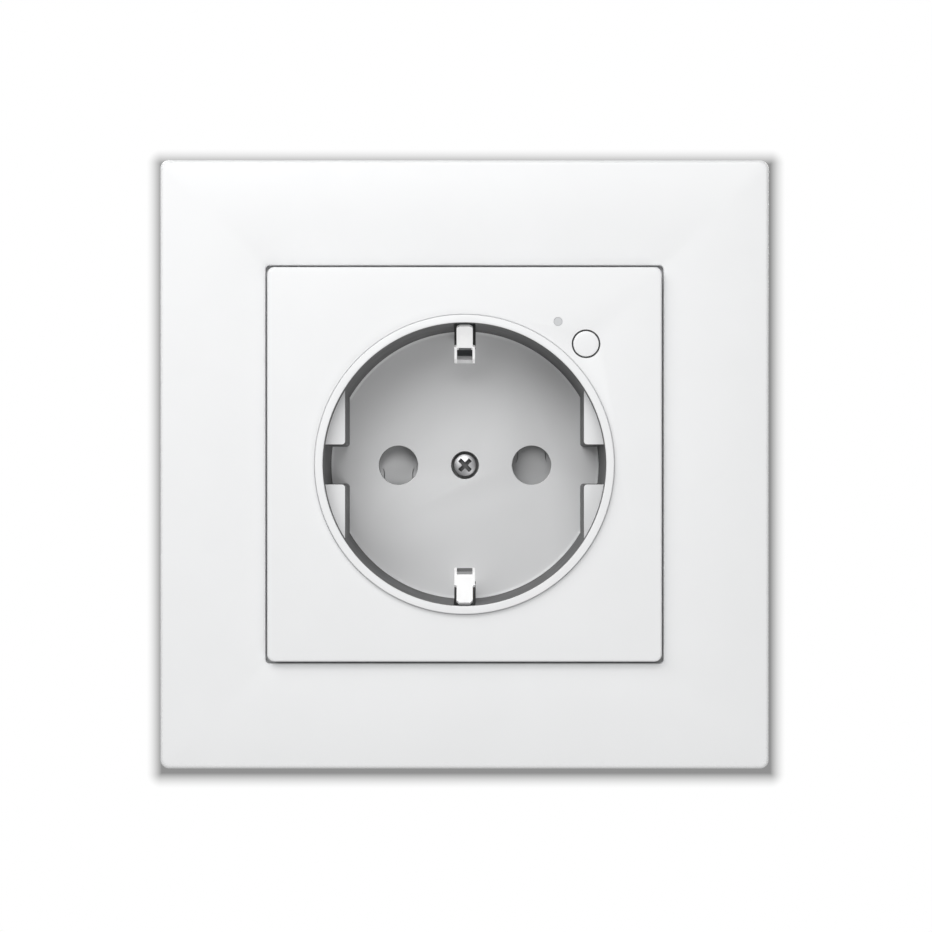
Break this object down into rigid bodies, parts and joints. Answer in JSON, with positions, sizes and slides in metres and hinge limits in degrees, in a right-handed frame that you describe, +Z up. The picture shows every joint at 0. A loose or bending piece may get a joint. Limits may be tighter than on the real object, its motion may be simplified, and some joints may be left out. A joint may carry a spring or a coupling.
{
  "type": "flush smart socket outlet",
  "caption": "Flush wall socket with a square frame, a round plug well with side earth clips, shuttered pin holes, a small push button and an indicator window.",
  "frame": {"origin": "centre of the insert in the plane of the wall's surface, where the mounting plate bears", "axes": "+X to the right and +Z up as seen from the room, +Y into the wall, so the front faces -Y"},
  "size_m": [0.085, 0.0459, 0.085],
  "materials": {
    "front_white": "fine satin white",
    "light_window": "milky, smooth",
    "release_white": "satin",
    "shutter_grey": "satin",
    "housing_grey": "fine texture",
    "black_plastic": "satin",
    "relay_blue": "satin",
    "film_yellow": "satin",
    "screw_steel": "zinc plated",
    "plate_steel": "zinc plated sheet",
    "spring_steel": "bright rolled strip",
    "contact_brass": "bright",
    "copper": "bright copper",
    "board_green": "solder mask",
    "can_aluminium": "satin",
    "ferrite": "matt",
    "fuse_glass": "clear",
    "varistor_blue": "dipped coating"
  },
  "bodies": {
    "insert": {"outer_frame": "front_white", "cover_plate": "front_white", "light_pipe": "light_window", "status_led": "light_window", "base_housing": "housing_grey", "rear_cover": "housing_grey", "tact_switch": "black_plastic", "link_header": "black_plastic", "bulk_capacitor": "black_plastic", "bridge_rectifier": "black_plastic", "relay": "relay_blue", "suppression_capacitor": "film_yellow", "cover_screw": "screw_steel", "upper_plate_rivet": "screw_steel", "lower_plate_rivet": "screw_steel", "housing_screw_1": "screw_steel", "housing_screw_2": "screw_steel", "housing_screw_3": "screw_steel", "housing_screw_4": "screw_steel", "mounting_plate": "plate_steel", "earth_bracket": "plate_steel", "shutter_spring": "spring_steel", "line_clamp_spring": "spring_steel", "earth_clamp_spring": "spring_steel", "neutral_clamp_spring": "spring_steel", "line_contact": "contact_brass", "neutral_contact": "contact_brass", "line_terminal": "contact_brass", "earth_terminal": "contact_brass", "neutral_terminal": "contact_brass", "line_bar": "copper", "neutral_bar": "copper", "earth_bar": "copper", "relay_bar": "copper", "transformer_winding": "copper", "control_board": "board_green", "power_board": "board_green", "radio_board": "board_green", "output_capacitor": "can_aluminium", "radio_shield": "can_aluminium", "transformer_core": "ferrite", "fuse": "fuse_glass", "varistor": "varistor_blue"},
    "button": {"push_button": "front_white", "tact_plunger": "housing_grey"},
    "shutter_disc": {"shutter": "shutter_grey"},
    "upper_clip": {"upper_earth_clip": "spring_steel"},
    "lower_clip": {"lower_earth_clip": "spring_steel"},
    "line_release_button": {"line_release": "release_white"},
    "earth_release_button": {"earth_release": "release_white"},
    "neutral_release_button": {"neutral_release": "release_white"}
  },
  "joints": [
    {"name": "button_press", "type": "slide", "parent": "insert", "child": "button", "axis": [0, 1, 0], "range_m": [0, 0.0005], "stiffness_N_per_m": 1200, "springref_m": -0.0003},
    {"name": "shutter_turn", "type": "hinge", "parent": "insert", "child": "shutter_disc", "pos_m": [0, 0.0093, 0], "axis": [0, 1, 0], "range_deg": [0, 38], "stiffness_Nm_per_rad": 0.004, "springref_deg": -17.19},
    {"name": "upper_clip_flex", "type": "hinge", "parent": "insert", "child": "upper_clip", "pos_m": [0, 0.0149, 0.0182], "axis": [-1, 0, 0], "range_deg": [0, 5.2], "stiffness_Nm_per_rad": 1, "springref_deg": -1.72},
    {"name": "lower_clip_flex", "type": "hinge", "parent": "insert", "child": "lower_clip", "pos_m": [0, 0.0149, -0.0182], "axis": [1, 0, 0], "range_deg": [0, 5.2], "stiffness_Nm_per_rad": 1, "springref_deg": -1.72},
    {"name": "line_release_press", "type": "slide", "parent": "insert", "child": "line_release_button", "axis": [0, -1, 0], "range_m": [0, 0.0012], "stiffness_N_per_m": 4000, "springref_m": -0.0005},
    {"name": "earth_release_press", "type": "slide", "parent": "insert", "child": "earth_release_button", "axis": [0, -1, 0], "range_m": [0, 0.0012], "stiffness_N_per_m": 4000, "springref_m": -0.0005},
    {"name": "neutral_release_press", "type": "slide", "parent": "insert", "child": "neutral_release_button", "axis": [0, -1, 0], "range_m": [0, 0.0012], "stiffness_N_per_m": 4000, "springref_m": -0.0005}
  ]
}
